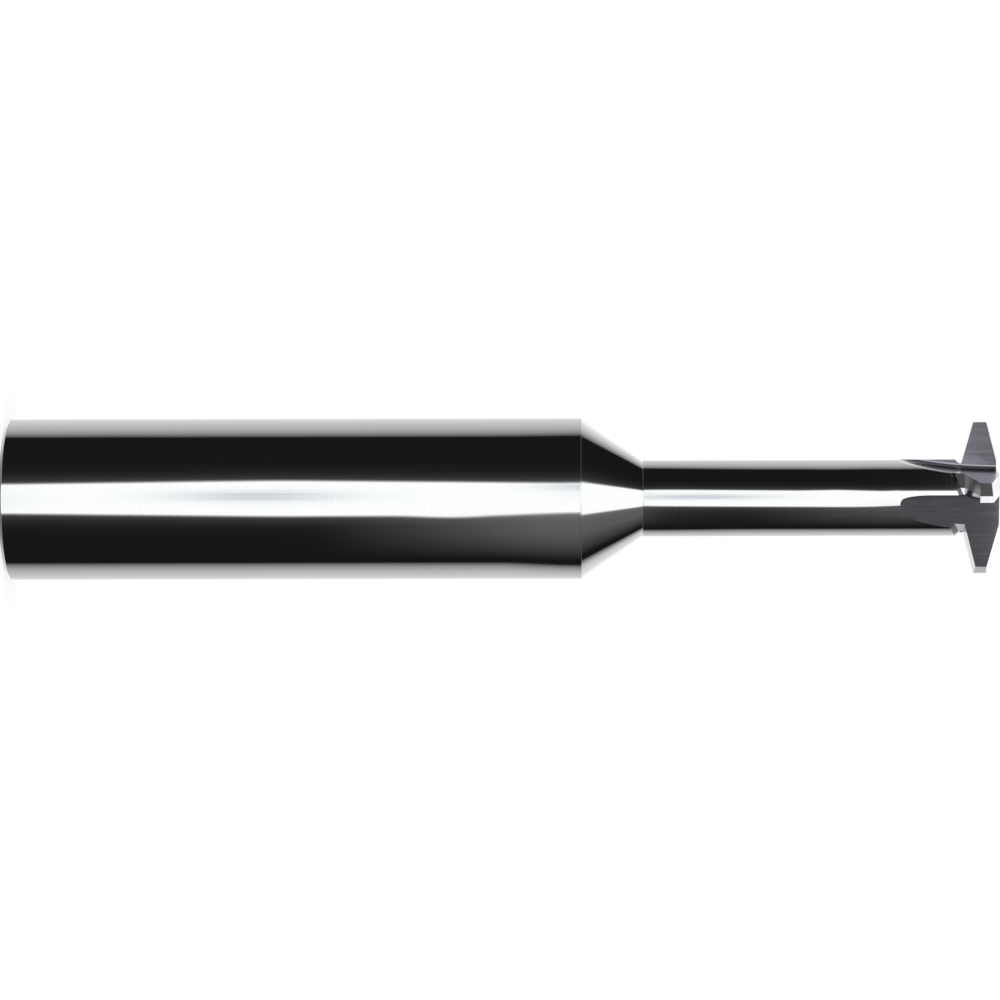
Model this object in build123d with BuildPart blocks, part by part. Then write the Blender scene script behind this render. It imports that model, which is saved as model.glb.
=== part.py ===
from build123d import *
from math import cos, radians, sin, sqrt, tan
import os

# A single-profile thread mill, ground from one rod of solid carbide. It stands on its
# shank end: the tool's axis is +Z, the origin is the middle of the shank's end face and
# the cutting head is at the top. It cuts while turning about +Z. Millimetres, degrees.

# The rod: shank, cone and neck
overall_length = 73.0
shank_diameter = 12.0
shank_length = 42.3
shank_chamfer = 0.25
cone_half_angle = 35.0
neck_diameter = 5.68

# The cutting profile, a trapezoid seen square on to the rake face
head_diameter = 11.2
tooth_count = 4
crest_width = 0.97
crest_setback = 0.78
profile_half_angle = 15.0

# The groove that frees the foot of the profile from the neck
root_diameter = 5.0
groove_floor_width = 0.1
groove_wall_angle = 45.0

# How the teeth are sharpened and backed off
rake_angle = 7.5
primary_land = 0.45
primary_relief = 7.0
secondary_relief = 30.0
side_relief = 3.0
groove_relief = 22.0

# The flutes, each ground by the side and the rim of one wheel
web_diameter = 4.0
flute_wheel_radius = 32.5
flute_corner_radius = 0.35

# What the grinding takes away: stock left on the blank's disc, how far the profile wheel
# starts ahead of a rake face, and how far every wheel runs out past the blank
grinding_stock = 0.3
profile_lead = 0.05
overrun = 1.0

# Radii and the cone that follow from the sizes above
shank_radius = shank_diameter / 2
neck_radius = neck_diameter / 2
web_radius = web_diameter / 2
disc_radius = head_diameter / 2 + grinding_stock
wheel_reach = disc_radius + overrun
cone_length = (shank_radius - neck_radius) / tan(radians(cone_half_angle))

# The rake face lies behind the axis, by as much as its angle asks for at the cutting edge.
# In its plane x runs along the tool from the front face and y is the distance from the
# foot of the axis. The plane faces the way the tooth moves.
rake_offset = head_diameter / 2 * sin(radians(rake_angle))
crest_height = head_diameter / 2 * cos(radians(rake_angle))
root_height = sqrt((root_diameter / 2) ** 2 - rake_offset**2)
cutting_direction = Vector(-sin(radians(rake_angle)), cos(radians(rake_angle)), 0)
rake_plane = Plane(
    origin=Vector(0, 0, overall_length) - cutting_direction * rake_offset,
    x_dir=(0, 0, 1),
    z_dir=cutting_direction,
)

# Places along the tool, counted from the front face
flank_run = (crest_height - root_height) * tan(radians(profile_half_angle))
crest_front = -crest_setback
crest_back = crest_front - crest_width
profile_foot = crest_back - flank_run
groove_start = profile_foot - groove_floor_width
disc_back = overall_length + (profile_foot + groove_start) / 2

# A tooth is a slab between its own rake face and the floor of the flute behind it
tooth_thickness = web_radius - rake_offset


def backed_off(behind):
    """How far the profile has sunk towards the axis at a distance behind the rake face."""
    on_land = min(behind, primary_land)
    past_land = behind - on_land
    land_slope = tan(radians(rake_angle + primary_relief))
    heel_slope = tan(radians(rake_angle + secondary_relief))
    return on_land * land_slope + past_land * heel_slope


# What the profile wheel clears round one tooth and in the groove beside it: one section
# at the cutting edge, one where the primary land ends and one past the tooth's back, each
# sunk and drawn in by the relief that the tooth has there
with BuildPart() as profile_cut:
    for behind in (-profile_lead, primary_land, tooth_thickness + overrun):
        crest = crest_height - backed_off(behind)
        root = root_height - backed_off(behind)
        inset = behind * tan(radians(side_relief))
        groove_corner = groove_start - behind * tan(radians(groove_relief))
        wall_run = (wheel_reach - root) / tan(radians(groove_wall_angle))
        front_drop = (overrun + crest_setback + inset) / tan(radians(profile_half_angle))
        with BuildSketch(rake_plane.offset(-behind)):
            with BuildLine():
                Polyline(
                    (groove_corner - wall_run, wheel_reach),
                    (groove_corner, root),
                    (profile_foot + inset, root),
                    (crest_back + inset, crest),
                    (crest_front - inset, crest),
                    (overrun, crest - front_drop),
                    (overrun, wheel_reach),
                    close=True,
                )
            make_face()
    loft(ruled=True)

# What the fluting wheel clears: its side grinds the rake face and its rim the floor. It
# comes straight in through the front face, then lifts out of the neck on its own radius,
# and its rounded edge leaves a fillet between the two.
lift = wheel_reach - web_radius
lift_run = sqrt(flute_wheel_radius**2 - (flute_wheel_radius - lift) ** 2)
with BuildPart() as flute_cut:
    with BuildSketch(rake_plane):
        with BuildLine():
            floor = Line((overrun, web_radius), (0, web_radius))
            run_out = RadiusArc(floor @ 1, (-lift_run, wheel_reach), flute_wheel_radius)
            Polyline(run_out @ 1, (overrun, wheel_reach), floor @ 0)
        make_face()
    extrude(amount=wheel_reach + rake_offset)
    wheel_side = flute_cut.faces().sort_by(Axis(rake_plane.origin, rake_plane.z_dir))[0]
    wheel_rim = wheel_side.edges().sort_by(Axis(rake_plane.origin, rake_plane.y_dir))[:2]
    fillet(wheel_rim, radius=flute_corner_radius)

with BuildPart() as thread_mill:
    # The blank, ground round: shank, cone, neck and the disc that will hold the teeth
    with BuildSketch(Plane.XZ):
        with BuildLine():
            Polyline(
                (0, 0),
                (shank_radius - shank_chamfer, 0),
                (shank_radius, shank_chamfer),
                (shank_radius, shank_length),
                (neck_radius, shank_length + cone_length),
                (neck_radius, disc_back),
                (disc_radius, disc_back),
                (disc_radius, overall_length),
                (0, overall_length),
                close=True,
            )
        make_face()
    revolve(axis=Axis.Z)
    # The teeth, formed and fluted at even spacing
    with PolarLocations(0, tooth_count):
        add(profile_cut.part, mode=Mode.SUBTRACT)
        add(flute_cut.part, mode=Mode.SUBTRACT)

thread_mill.part.label = "thread_mill"
os.makedirs("parts", exist_ok=True)
export_step(thread_mill.part, "parts/thread_mill.step")
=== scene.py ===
import bpy
import math
import numpy as np
from mathutils import Matrix


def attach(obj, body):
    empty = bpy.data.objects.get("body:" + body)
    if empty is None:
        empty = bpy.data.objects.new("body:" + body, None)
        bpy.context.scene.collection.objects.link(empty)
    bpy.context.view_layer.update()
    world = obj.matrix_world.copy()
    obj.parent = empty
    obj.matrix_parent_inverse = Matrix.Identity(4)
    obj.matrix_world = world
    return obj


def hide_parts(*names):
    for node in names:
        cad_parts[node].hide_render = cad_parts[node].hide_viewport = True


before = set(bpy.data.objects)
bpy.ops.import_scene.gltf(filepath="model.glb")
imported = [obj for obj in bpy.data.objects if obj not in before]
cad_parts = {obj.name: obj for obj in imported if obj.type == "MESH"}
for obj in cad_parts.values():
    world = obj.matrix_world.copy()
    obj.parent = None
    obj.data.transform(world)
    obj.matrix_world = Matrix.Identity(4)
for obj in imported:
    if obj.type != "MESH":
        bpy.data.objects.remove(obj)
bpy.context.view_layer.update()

# Thread mill: one rod of solid carbide, ground all over. The shank, cone and neck are
# ground round and polished bright; the four teeth are formed by a profile wheel and the
# four flutes cut by the side and rim of another. Sizes in millimetres, as in the solid.
overall_length = 73.0
shank_radius = 6.0
shank_length = 42.3
shank_chamfer = 0.25
cone_slope = math.radians(35)
neck_radius = 2.84
edge_round = 0.025

head_radius = 5.6
tooth_count = 4
crest_width = 0.97
crest_setback = 0.78
flank_slope = math.tan(math.radians(15))
root_radius = 2.5
groove_floor = 0.1

rake_angle = math.radians(7.5)
primary_land = 0.45
primary_slope = math.tan(math.radians(7.5 + 7))
secondary_slope = math.tan(math.radians(7.5 + 30))
side_relief = math.tan(math.radians(3))
groove_relief = math.tan(math.radians(22))

web_radius = 2.0
flute_wheel = 32.5
flute_corner = 0.35
corner_run = flute_corner * math.pi / 2

# The rake face lies behind the axis. Each tooth has its own frame: x runs along the tool
# from the front face, y outwards in the rake face, and behind is the way back from it.
rake_offset = head_radius * math.sin(rake_angle)
crest_height = head_radius * math.cos(rake_angle)
root_height = math.sqrt(root_radius**2 - rake_offset**2)
profile_foot = -crest_setback - crest_width - (crest_height - root_height) * flank_slope

# Columns of the mesh round one quarter: down the rake face, round the flute's corner, out
# along its floor, then over the next tooth's secondary relief and its primary land.
rake_columns = 8
corner_columns = 8
floor_columns = 16
relief_columns = 20
land_columns = 6
flute_columns = rake_columns + corner_columns + floor_columns
quarter_columns = flute_columns + relief_columns + land_columns
columns = tooth_count * quarter_columns
settling_rounds = 20
halvings = 50


def floor_distance(x):
    """How far a flute's floor is from the axis at x: the web's radius, and from the front
    face back the rise of a circle of the wheel's radius that touches it there."""
    return web_radius + flute_wheel - np.sqrt(flute_wheel**2 - x**2)


def sunk(behind):
    """How far the tooth's profile has sunk at a distance behind the rake face: the primary
    slope up to the end of the land, and the secondary slope past it."""
    on_land = np.minimum(behind, primary_land)
    return on_land * primary_slope + (behind - on_land) * secondary_slope


def tooth_line(behind):
    """The corners of the profile at a distance behind the rake face, as x and y: front
    face, front and back of the crest, foot, groove and the top of the groove's wall, which
    is where its 45 degree line meets the neck's circle."""
    crest = crest_height - sunk(behind)
    root = root_height - sunk(behind)
    inset = behind * side_relief
    groove = profile_foot - groove_floor - behind * groove_relief
    neck = np.sqrt(neck_radius**2 - (rake_offset + behind) ** 2)
    x = [
        0 * behind,
        -crest_setback - inset,
        -crest_setback - crest_width + inset,
        profile_foot + inset,
        groove,
        groove - (neck - root),
    ]
    y = [crest - (crest_setback + inset) / flank_slope, crest, crest, root, root, neck]
    return np.stack(x), np.stack(y)


def on_tooth(row, behind):
    """x and y on the tooth's outside: a row between two corners of its profile is the
    straight blend of the two."""
    corners = np.stack(tooth_line(behind), axis=1)
    low = np.clip(np.floor(row).astype(int), 0, len(corners) - 2)
    part = row - low
    low = np.broadcast_to(low, behind.shape)[None, None]
    this_corner = np.take_along_axis(corners, low, 0)[0]
    next_corner = np.take_along_axis(corners, low + 1, 0)[0]
    return this_corner * (1 - part) + next_corner * part


def in_flute(run, x):
    """The flute's section as two distances from the axis, forwards and outwards, at a run
    along it: negative up the rake face, then round the corner's quarter circle, then
    forwards along the floor."""
    floor = floor_distance(x)
    turn = np.clip(run / flute_corner, 0, math.pi / 2)
    forwards = -rake_offset + flute_corner * (1 - np.cos(turn)) + np.maximum(run - corner_run, 0)
    outwards = floor + flute_corner * (1 - np.sin(turn)) - np.minimum(run, 0)
    return forwards, outwards


def spread(start, first, second, end):
    """Runs along the flute at its columns: even steps between four given runs."""
    parts = [
        start + (first - start) * np.arange(rake_columns) / rake_columns,
        first + (second - first) * np.arange(corner_columns) / corner_columns,
        second + (end - second) * np.arange(floor_columns) / floor_columns,
    ]
    return np.concatenate(parts, axis=1)


# The head's rows, closer where the profile turns. Each row ends at the next flute's floor,
# which cuts the tooth off at a distance behind its rake face that a few rounds settle.
row_counts = [8, 4, 9, 1, 4]
head_rows = np.concatenate([i + np.arange(n) / n for i, n in enumerate(row_counts)])[:, None]
corner_rows = np.concatenate([[0], np.cumsum(row_counts)])
back = np.full(head_rows.shape, web_radius - rake_offset)
for _ in range(settling_rounds):
    back = floor_distance(on_tooth(head_rows, back)[0]) - rake_offset

relief = 1 - np.arange(relief_columns) / relief_columns
land = 1 - np.arange(land_columns) / land_columns
behind = np.concatenate(
    [primary_land + (back - primary_land) * relief, primary_land * land + 0 * back], axis=1
)
tooth_x, tooth_y = on_tooth(head_rows, behind)
tip_x, tip_y = on_tooth(head_rows, 0 * back)
heel_x, heel_y = on_tooth(head_rows, back)

share = np.clip((np.arange(flute_columns) - rake_columns) / (corner_columns + floor_columns), 0, 1)
flute_x = tip_x + (heel_x - tip_x) * share
run = spread(
    -(tip_y - floor_distance(tip_x) - flute_corner),
    0 * tip_x,
    corner_run + 0 * tip_x,
    corner_run + heel_y + rake_offset - flute_corner,
)
flute_forwards, flute_outwards = in_flute(run, flute_x)
head_x = np.concatenate([flute_x, tooth_x], axis=1)
head_forwards = np.concatenate([flute_forwards, tooth_y], axis=1)
head_outwards = np.concatenate([flute_outwards, rake_offset + behind], axis=1)


# The neck's rows, from the top of the groove's wall to where the flutes run out, closer
# there, and at the last row still a hair deep. A flute is cut off by the neck's circle on
# both sides, on the rake side at a run found by halving.
neck_row_count = 37
neck_crowding = 1.7
last_depth = 0.0003
neck_rows = np.linspace(0, 1, neck_row_count)[:, None]
neck_rows = 1 - (1 - neck_rows) ** neck_crowding
wheel_height = flute_wheel - neck_radius + web_radius + last_depth
run_out = -math.sqrt(flute_wheel**2 - wheel_height**2)
wall_top = np.full((1, 1), 5.0)
wall_x = on_tooth(wall_top, 0 * back[:1])[0]
wall_back = np.full((1, 1), web_radius - rake_offset)
for _ in range(settling_rounds):
    wall_back = floor_distance(on_tooth(wall_top, wall_back)[0]) - rake_offset
wall_heel = on_tooth(wall_top, wall_back)[0]
neck_tip_x = wall_x + (run_out - wall_x) * neck_rows
neck_heel_x = wall_heel + (run_out - wall_heel) * neck_rows

outer = np.full(neck_rows.shape, -3.0)
inner = np.full(neck_rows.shape, corner_run + rake_offset - flute_corner)
for _ in range(halvings):
    middle = (outer + inner) / 2
    outside = np.hypot(*in_flute(middle, neck_tip_x)) > neck_radius
    outer = np.where(outside, middle, outer)
    inner = np.where(outside, inner, middle)
floor_end = np.sqrt(neck_radius**2 - floor_distance(neck_heel_x) ** 2)
end = corner_run + floor_end + rake_offset - flute_corner
first = np.maximum(0, inner + 0.07 * (end - inner))
second = np.maximum(corner_run, first + 0.15 * (end - inner))
run = spread(inner, first, second, end)
neck_flute_x = neck_tip_x + (neck_heel_x - neck_tip_x) * share
forwards, outwards = in_flute(run, neck_flute_x)

# Between two flutes the neck's own circle is left, from one flute's floor to the next
# one's rake side, in even steps of angle
heel_turn = np.arctan2(floor_end, floor_distance(neck_heel_x))
tip_forwards, tip_outwards = in_flute(inner, neck_tip_x)
tip_turn = np.arctan2(tip_forwards, tip_outwards) + math.pi / 2
steps = np.arange(relief_columns + land_columns) / (relief_columns + land_columns)
turn = heel_turn + (tip_turn - heel_turn) * steps
arc_x = neck_heel_x + (neck_tip_x - neck_heel_x) * steps
neck_x = np.concatenate([neck_flute_x, arc_x], axis=1)
neck_forwards = np.concatenate([forwards, neck_radius * np.sin(turn)], axis=1)
neck_outwards = np.concatenate([outwards, neck_radius * np.cos(turn)], axis=1)

# Head and neck together. The head's last columns belong to the next tooth, which stands a
# quarter turn further: what is outwards there is forwards here. All four quarters follow.
head_rows_x = np.concatenate([head_x, neck_x])
forwards = np.concatenate([head_forwards, neck_forwards])
outwards = np.concatenate([head_outwards, neck_outwards])
radius = np.hypot(forwards, outwards)
radius[-1] = neck_radius
angle = np.arctan2(forwards, outwards) + rake_angle
quarters = np.arange(tooth_count)[:, None] * 2 * math.pi / tooth_count
angle = (angle[:, None, :] + quarters[None]).reshape(len(angle), columns)
radius = np.tile(radius, (1, tooth_count))
along = overall_length + np.tile(head_rows_x, (1, tooth_count))

# The rod behind the flutes, as radius and place along the tool. Its corners are broken by
# small rounds, and rows close to them keep the reflections on the long runs straight.
def corner(start, point, finish, count=5):
    """A small round in the rod's outline: an arc, drawn as the quadratic curve that leaves
    the corner point's two sides at the edge round's distance from it."""
    start, point, finish = (np.array(p) for p in (start, point, finish))
    from_point = (start - point) / np.hypot(*(start - point)) * edge_round + point
    to_point = (finish - point) / np.hypot(*(finish - point)) * edge_round + point
    t = np.linspace(0, 1, count + 1)[:, None]
    arc = from_point * (1 - t) ** 2 + 2 * point * t * (1 - t) + to_point * t**2
    before = point + (from_point - point) * 2
    after = point + (to_point - point) * 2
    return np.concatenate([before[None], arc, after[None]])


cone_end = shank_length + (shank_radius - neck_radius) / math.tan(cone_slope)
outline = [
    (neck_radius, overall_length + run_out),
    (neck_radius, cone_end),
    (shank_radius, shank_length),
    (shank_radius, shank_chamfer),
    (shank_radius - shank_chamfer, 0),
    (0.5, 0),
]
row_gap = 1.5
spread_length = 6
rows = []
for i in range(1, 5):
    rows.append(corner(outline[i - 1], outline[i], outline[i + 1]))
    length = math.dist(outline[i], outline[i + 1])
    gaps = int(max(1, length / row_gap))
    part = np.linspace(0, 1, gaps + 1)[1:-1, None]
    rows.append(rows[-1][-1] * (1 - part) + np.array(outline[i + 1]) * part)
neck_run = np.linspace(outline[0][1], cone_end, 16)[1:-1]
fade = np.stack([np.full(len(neck_run), neck_radius), neck_run], axis=1)
rod_rows = np.concatenate([fade, *rows[:-1]])

# Where the flutes end, their columns stand close together, and they spread evenly round
# the rod over the next stretch of the neck
even = angle[-1].mean() + (np.arange(columns) - (columns - 1) / 2) * 2 * math.pi / columns
settled = np.clip((outline[0][1] - rod_rows[:, 1:]) / spread_length, 0, 1)
settled = settled**2 * (3 - 2 * settled)
rod_angle = angle[-1] * (1 - settled) + even * settled
angle = np.concatenate([angle, rod_angle])
radius = np.concatenate([radius, np.broadcast_to(rod_rows[:, :1], rod_angle.shape)])
along = np.concatenate([along, np.broadcast_to(rod_rows[:, 1:], rod_angle.shape)])
points = np.stack([radius * np.cos(angle), radius * np.sin(angle), along], axis=-1)
points = points.reshape(-1, 3) * 0.001

# Faces between the rows, wound to look outwards, and the two flat ends
count = len(angle)
row, column = np.meshgrid(np.arange(count - 1), np.arange(columns), indexing="ij")
beside = (column + 1) % columns
quads = np.stack(
    [row * columns + column, (row + 1) * columns + column,
     (row + 1) * columns + beside, row * columns + beside], axis=-1
).reshape(-1, 4)
front = list(range(columns))
shank_end = list(range((count - 1) * columns, count * columns))[::-1]
mesh = bpy.data.meshes.new("thread_mill")
mesh.from_pydata(points.tolist(), [], quads.tolist() + [front, shank_end])

# Ground edges are sharp: the front face's outline, the corners of the profile on the teeth,
# both sides and the run-out of every flute, and the line between a tooth's primary land and
# its secondary relief
ends = np.zeros(len(mesh.edges) * 2, int)
mesh.edges.foreach_get("vertices", ends)
end_row, end_column = np.divmod(ends.reshape(-1, 2), columns)
in_quarter = end_column % quarter_columns
along_row = end_row[:, 0] == end_row[:, 1]
along_column = end_column[:, 0] == end_column[:, 1]
head_end = corner_rows[5]
flute_end = head_end + len(neck_rows) - 1
on_outside = ((in_quarter >= flute_columns) | (in_quarter == 0)).all(axis=1)
profile_edge = along_row & on_outside & np.isin(end_row[:, 0], corner_rows)
face_edge = along_row & (end_row[:, 0] == 0)
flute_edge = along_column & np.isin(in_quarter[:, 0], [0, flute_columns])
flute_edge &= (end_row <= flute_end).all(axis=1)
run_out_edge = along_row & (end_row[:, 0] == flute_end)
run_out_edge &= (in_quarter <= flute_columns).all(axis=1)
land_edge = along_column & (in_quarter[:, 0] == flute_columns + relief_columns)
land_edge &= (end_row <= head_end).all(axis=1)
end_edge = along_row & (end_row[:, 0] == count - 1)
sharp = mesh.attributes.new("sharp_edge", "BOOLEAN", "EDGE")
sharp.data.foreach_set(
    "value", profile_edge | face_edge | flute_edge | run_out_edge | land_edge | end_edge
)

# Three finishes: the polished rod, the matte floors and rake faces of the flutes with the
# front face, and the finer ground outside of the teeth
finish = np.zeros(len(quads) + 2, int)
quad_row = row.reshape(-1)
in_flute_column = (column.reshape(-1) % quarter_columns) < flute_columns
finish[:-2][(quad_row < flute_end) & in_flute_column] = 1
finish[:-2][(quad_row < head_end) & ~in_flute_column] = 2
finish[-2] = 1
mesh.polygons.foreach_set("material_index", finish)
mesh.polygons.foreach_set("use_smooth", np.ones(len(finish), bool))
mesh.update()
mesh.validate()


def ground_carbide(name, colour, lines, across, along, depth):
    """Bare carbide, a metal ground by a wheel: its colour and roughness vary between fine
    lines, a noise drawn out along them. Across and along are lines per metre over the tool
    and along it, and depth is how deep they are cut, in metres."""
    material = bpy.data.materials.new(name)
    material.use_nodes = True
    nodes = material.node_tree.nodes
    links = material.node_tree.links
    surface = nodes["Principled BSDF"]
    surface.inputs["Metallic"].default_value = 1
    place = nodes.new("ShaderNodeTexCoord")
    drawn_out = nodes.new("ShaderNodeMapping")
    drawn_out.inputs["Scale"].default_value = (across, across, along)
    grinding = nodes.new("ShaderNodeTexNoise")
    grinding.inputs["Scale"].default_value = 1
    grinding.inputs["Detail"].default_value = 3
    tone = nodes.new("ShaderNodeMix")
    tone.data_type = "RGBA"
    tone.inputs["A"].default_value = (*(part * (1 - lines) for part in colour), 1)
    tone.inputs["B"].default_value = (*(part * (1 + lines) for part in colour), 1)
    gloss = nodes.new("ShaderNodeMapRange")
    cut = nodes.new("ShaderNodeBump")
    cut.inputs["Strength"].default_value = 1
    cut.inputs["Distance"].default_value = depth
    links.new(place.outputs["Object"], drawn_out.inputs["Vector"])
    links.new(drawn_out.outputs["Vector"], grinding.inputs["Vector"])
    links.new(grinding.outputs["Fac"], tone.inputs["Factor"])
    links.new(grinding.outputs["Fac"], gloss.inputs["Value"])
    links.new(grinding.outputs["Fac"], cut.inputs["Height"])
    links.new(tone.outputs["Result"], surface.inputs["Base Color"])
    links.new(gloss.outputs["Result"], surface.inputs["Roughness"])
    links.new(cut.outputs["Normal"], surface.inputs["Normal"])
    return material, gloss, cut


# The rod is polished between centres: hair-fine rings, and a slow swell in the surface that
# makes the edges of what it reflects waver
polished, rod_gloss, rings = ground_carbide(
    "polished_carbide", (0.52, 0.524, 0.52), 0.03, 60, 9000, 1e-7
)
rod_gloss.inputs["To Min"].default_value = 0.03
rod_gloss.inputs["To Max"].default_value = 0.08
swell = polished.node_tree.nodes.new("ShaderNodeTexNoise")
swell.inputs["Scale"].default_value = 160
swell.inputs["Detail"].default_value = 1
swelling = polished.node_tree.nodes.new("ShaderNodeBump")
swelling.inputs["Distance"].default_value = 4e-6
rod_place = polished.node_tree.nodes["Texture Coordinate"]
polished.node_tree.links.new(rod_place.outputs["Object"], swell.inputs["Vector"])
polished.node_tree.links.new(swell.outputs["Fac"], swelling.inputs["Height"])
polished.node_tree.links.new(swelling.outputs["Normal"], rings.inputs["Normal"])

# The flutes and the front face are left as the wheel cut them, a shade more violet, with
# its lines along the tool. The teeth's outsides have finer lines round the tool.
fluted, flute_gloss, _ = ground_carbide("flute_carbide", (0.25, 0.244, 0.276), 0.2, 5000, 130, 4e-7)
flute_gloss.inputs["To Min"].default_value = 0.14
flute_gloss.inputs["To Max"].default_value = 0.24
relieved, tooth_gloss, _ = ground_carbide("tooth_carbide", (0.5, 0.495, 0.515), 0.1, 1500, 7000, 3e-7)
tooth_gloss.inputs["To Min"].default_value = 0.12
tooth_gloss.inputs["To Max"].default_value = 0.2
for material in (polished, fluted, relieved):
    mesh.materials.append(material)
thread_mill = bpy.data.objects.new("thread_mill_ground", mesh)
bpy.context.scene.collection.objects.link(thread_mill)
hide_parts("thread_mill")
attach(thread_mill, "root")

# Floor: a plain white sheet, which the tool stands on. It shows the tool's shadow, and
# metal shows the studio's cards in its place, which reach below it.
floor_mesh = bpy.data.meshes.new("floor")
floor_mesh.from_pydata([(-2, -2, 0), (2, -2, 0), (2, 2, 0), (-2, 2, 0)], [], [(0, 1, 2, 3)])
floor = bpy.data.objects.new("floor", floor_mesh)
bpy.context.scene.collection.objects.link(floor)
sheet = bpy.data.materials.new("white_sheet")
sheet.use_nodes = True
sheet_nodes = sheet.node_tree.nodes
sheet_nodes["Principled BSDF"].inputs["Base Color"].default_value = (0.35, 0.35, 0.35, 1)
sheet_nodes["Principled BSDF"].inputs["Roughness"].default_value = 1
sheet_nodes["Principled BSDF"].inputs["Specular IOR Level"].default_value = 0
sheet_nodes["Principled BSDF"].inputs["Emission Color"].default_value = (1, 1, 1, 1)
sheet_nodes["Principled BSDF"].inputs["Emission Strength"].default_value = 0.72
floor_mesh.materials.append(sheet)
floor.visible_glossy = False

# Studio cards: one curved sheet a side, seen only in the metal. In front it is a soft
# light, beside the tool a black card whose edges fade, and behind it is open to the white.
photo_side = math.radians(-93.8)
card_distance = 0.6
card_height = 0.0437
front_light = 1.9
black_paper = 0.015
paper_glow = 0.11
glow_width = 0.09
fall_width = 0.55
opening_light = 1.05
opening_width = 16
behind_light = 0.35

# High up each edge is a straight line instead, as seen from the tool: how far aside the
# light's edge is and how far behind the black card's, with their leans over height, all as
# shares of the card's distance
light_aside = 0.4067
light_lean = 0.15
back_behind = 0.139
back_lean = 0.45


def card(side, light_bends, back_bends, lit_paper):
    """A sheet on a sphere about the tool, from straight below it to above the cone: its
    points, and how bright each one is. Its width runs from 0 in front through 1 at the
    light's edge to 2 at the black card's back edge, and from there 20 degrees a step until
    it is straight behind the tool. Both edges are given in degrees of azimuth at a few
    elevations. High up they lean in instead, so that the cone shows the shank's bands."""
    rows = [np.arange(-88, -14, 3), np.arange(-14, 6, 0.4), np.arange(6, 10, 0.15)]
    elevation = np.concatenate([*rows, np.arange(10, 76, 2)])[:, None]
    rise = np.radians(elevation)
    light_leans = np.clip((elevation - 33) / 10, 0, 1)
    back_leans = np.clip((elevation - 12) / 12, 0, 1)
    aside = (light_aside - light_lean * np.sin(rise)) / np.cos(rise)
    lean_light = np.arcsin(np.clip(aside, 0, 1))
    ahead = (-back_behind - back_lean * np.sin(rise)) / np.cos(rise)
    lean_back = np.arccos(np.clip(ahead, -1, 1))
    light_edge = np.interp(elevation, *zip(*light_bends)) * (1 - light_leans)
    light_edge = light_edge + np.degrees(lean_light) * light_leans
    back_edge = np.interp(elevation, *zip(*back_bends)) * (1 - back_leans)
    back_edge = back_edge + np.degrees(lean_back) * back_leans

    steps = [np.arange(0, 0.9, 0.02), np.arange(0.9, 1.1, 0.01), np.arange(1.1, 2, 0.05)]
    width = np.concatenate([*steps, np.arange(2, 2.5, 0.05), np.linspace(2.5, 6.3, 39)])
    dark = np.clip(width - 1, 0, 1)
    beyond = np.clip(width - 2, 0, None) * 20
    azimuth = np.clip(width, 0, 1) * light_edge + dark * (back_edge - light_edge) + beyond
    azimuth = np.minimum(azimuth, 180)

    # Light with its soft streaks, then the paper with the light's glow near its edge and
    # what else falls on it, then the opening behind
    streaks = 0
    for middle, aside, long, wide, weaker in light_streaks:
        lengthwise = ((elevation - middle) / long) ** 2
        crosswise = ((azimuth * side - aside) / wide) ** 2
        lines = 0.75 + 0.25 * np.cos(azimuth * 1.5) * np.cos(azimuth * 0.37 + 1)
        streaks = streaks + weaker * np.exp(-lengthwise - crosswise) * lines
    light = np.clip((1.03 - width) / 0.1, 0, 1)
    reach = np.interp(elevation, [7.9, 8.3, 30, 36], [0.88, 1.6, 1.6, 0.88])
    falling = np.interp(elevation, *zip(*lit_paper)) * np.clip((reach - dark) / fall_width, 0, 1)
    paper = black_paper + paper_glow * np.exp(-dark / glow_width) + falling
    opening = opening_light * (1 - np.exp(-beyond / opening_width))
    opening = opening + behind_light * np.clip((azimuth - 150) / 30, 0, 1)
    glow = light * (front_light - streaks) + (1 - light) * (paper + opening)
    # Painted shadow: towards straight below, the sheet grows darker. It stands in for the tool's
    # shadow on the floor as the metal would reflect it.
    painted_floor_shadow = np.interp(elevation, [-85, -65, -50], [0.25, 0.45, 1])
    tint = light * (0.015 + 0.1 * streaks)
    colour = np.stack([glow - tint, glow, glow + tint, glow], axis=-1)
    colour = colour * painted_floor_shadow[..., None]

    heading = photo_side - side * np.radians(azimuth)
    outwards = np.stack(
        [
            np.cos(rise) * np.cos(heading),
            np.cos(rise) * np.sin(heading),
            np.sin(rise) + 0 * heading,
        ],
        axis=-1,
    )
    return outwards * card_distance + np.array([0, 0, card_height]), colour


# Streaks where the light is weaker, as elevation, azimuth, both reaches in degrees, and how
# much weaker. Each card's bends are elevation and azimuth, its lit paper elevation and glow.
light_streaks = [
    (-13.3, 0, 0.8, 14, 0.3), (-7.4, 4, 1.8, 8, 0.9), (-0.3, 16, 0.9, 6, 0.8), (2.1, 4, 1.5, 8, 1),
]
upper_light = [(-60, 24), (-13, 21.3), (-7, 26), (-0.5, 21.6), (1.3, 26), (4, 22.6), (6.5, 21)]
upper_back = [(-60, 97.3), (-2, 97.3), (0.8, 100.5), (3.5, 94.3)]
upper_paper = [(-60, 0.8), (-28, 0.8), (-17, 0), (8.1, 0), (8.4, 0.28), (20, 0.28), (35, 0)]
lower_light = [
    (-60, 24), (-13, 19.5), (-7, 24.5), (-4.3, 24), (-3.2, 27), (-2.1, 23.4), (-0.5, 19.2),
    (1.3, 23.6), (5.9, 27.5), (6.8, 25), (7.1, 6), (40, 6),
]
lower_back = [(-60, 101.5), (-2, 101.5), (-1, 107), (-0.3, 109), (1.5, 108), (3, 104.5)]
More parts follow.
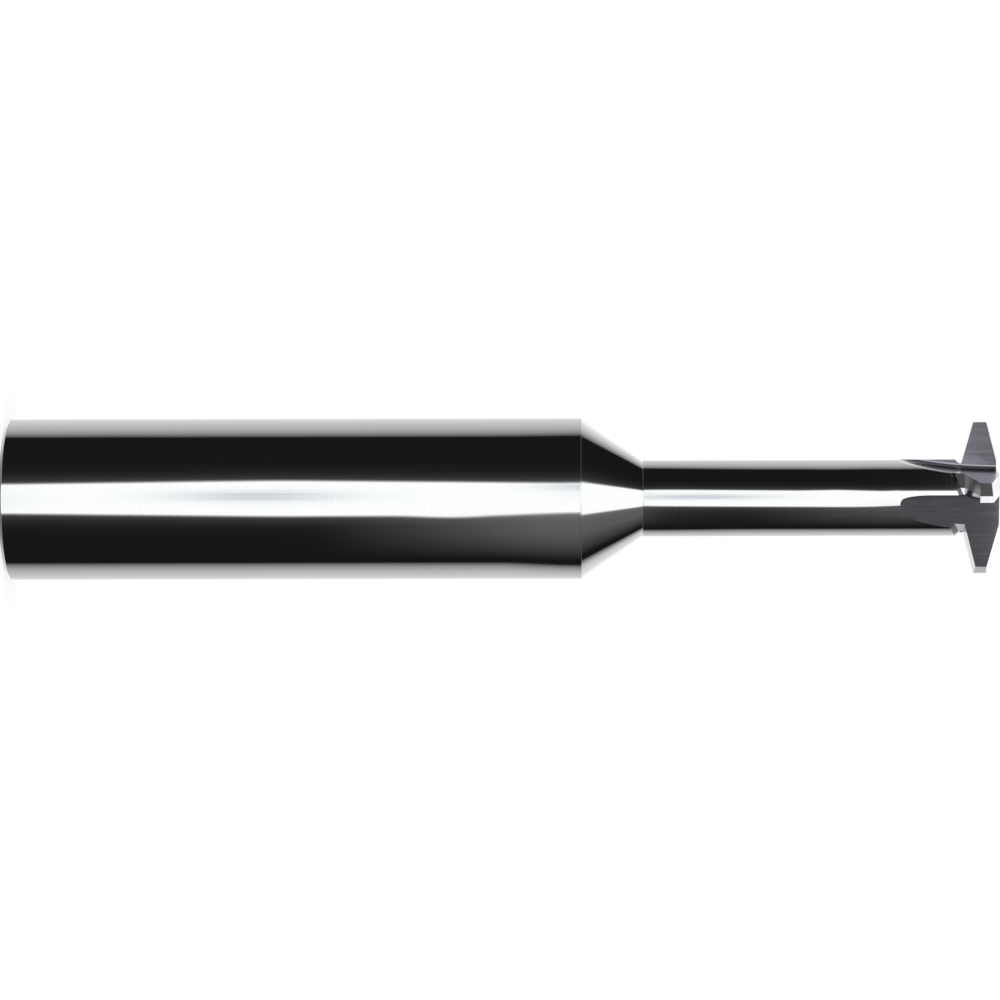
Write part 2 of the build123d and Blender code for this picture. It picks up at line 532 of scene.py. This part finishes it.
lower_paper = [
    (-60, 0.5), (-28, 0.5), (-17, 0), (-6, 0), (-3.2, 0.08), (-1.2, 0.18), (0, 0.18),
    (1.3, 0.02), (3.2, 0.01),
    (5.9, 0.09), (6.5, 0.14), (7.6, 0.05), (9, 0.05), (11.5, 0.23), (30, 0.2), (60, 0.17),
]

card_paper = bpy.data.materials.new("studio_card")
card_paper.use_nodes = True
card_nodes = card_paper.node_tree.nodes
card_nodes.remove(card_nodes["Principled BSDF"])
card_light = card_nodes.new("ShaderNodeEmission")
card_glow = card_nodes.new("ShaderNodeAttribute")
card_glow.attribute_name = "glow"
card_paper.node_tree.links.new(card_glow.outputs["Color"], card_light.inputs["Color"])
card_paper.node_tree.links.new(
    card_light.outputs["Emission"], card_nodes["Material Output"].inputs["Surface"]
)
for name, side, light_bends, back_bends, lit_paper in (
    ("upper_card", 1, upper_light, upper_back, upper_paper),
    ("lower_card", -1, lower_light, lower_back, lower_paper),
):
    place, colour = card(side, light_bends, back_bends, lit_paper)
    high, wide = place.shape[:2]
    corner_of = np.arange(high * wide).reshape(high, wide)
    faces = np.stack(
        [corner_of[:-1, :-1], corner_of[1:, :-1], corner_of[1:, 1:], corner_of[:-1, 1:]], axis=-1
    ).reshape(-1, 4)
    card_mesh = bpy.data.meshes.new(name)
    card_mesh.from_pydata(place.reshape(-1, 3).tolist(), [], faces.tolist())
    shade = card_mesh.attributes.new("glow", "FLOAT_COLOR", "POINT")
    shade.data.foreach_set("color", colour.reshape(-1))
    card_mesh.materials.append(card_paper)
    studio_card = bpy.data.objects.new(name, card_mesh)
    bpy.context.scene.collection.objects.link(studio_card)
    studio_card.visible_camera = False
    studio_card.visible_diffuse = False
    studio_card.visible_shadow = False

# Studio: an even white room
world = bpy.data.worlds.new("studio")
bpy.context.scene.world = world
world.use_nodes = True
world.node_tree.nodes["Background"].inputs["Color"].default_value = (1, 1, 1, 1)
world.node_tree.nodes["Background"].inputs["Strength"].default_value = 1

# Camera: level with the neck, looking square on to the axis, and rolled so that the tool
# lies across the picture with its head to the right
camera_distance = 0.2849
camera_height = 0.04366
camera_drop = 0.00013
tip = 0.002
camera_data = bpy.data.cameras.new("camera")
camera_data.sensor_width = 36
camera_data.lens = 36 * 3.85
camera_data.shift_x = -0.10
camera = bpy.data.objects.new("camera", camera_data)
bpy.context.scene.collection.objects.link(camera)
towards = np.array([math.cos(photo_side), math.sin(photo_side), 0])
picture_up = np.array([math.sin(photo_side), -math.cos(photo_side), 0])
along_tool = np.array([0, 0, 1])
place = towards * camera_distance - picture_up * camera_drop + along_tool * camera_height
picture_right = along_tool * math.cos(tip) - picture_up * math.sin(tip)
picture_up = picture_up * math.cos(tip) + along_tool * math.sin(tip)
turned = Matrix(np.column_stack([picture_right, picture_up, towards]).tolist())
camera.matrix_world = Matrix.Translation(place.tolist()) @ turned.to_4x4()
bpy.context.scene.camera = camera
bpy.context.scene.view_settings.view_transform = "Standard"
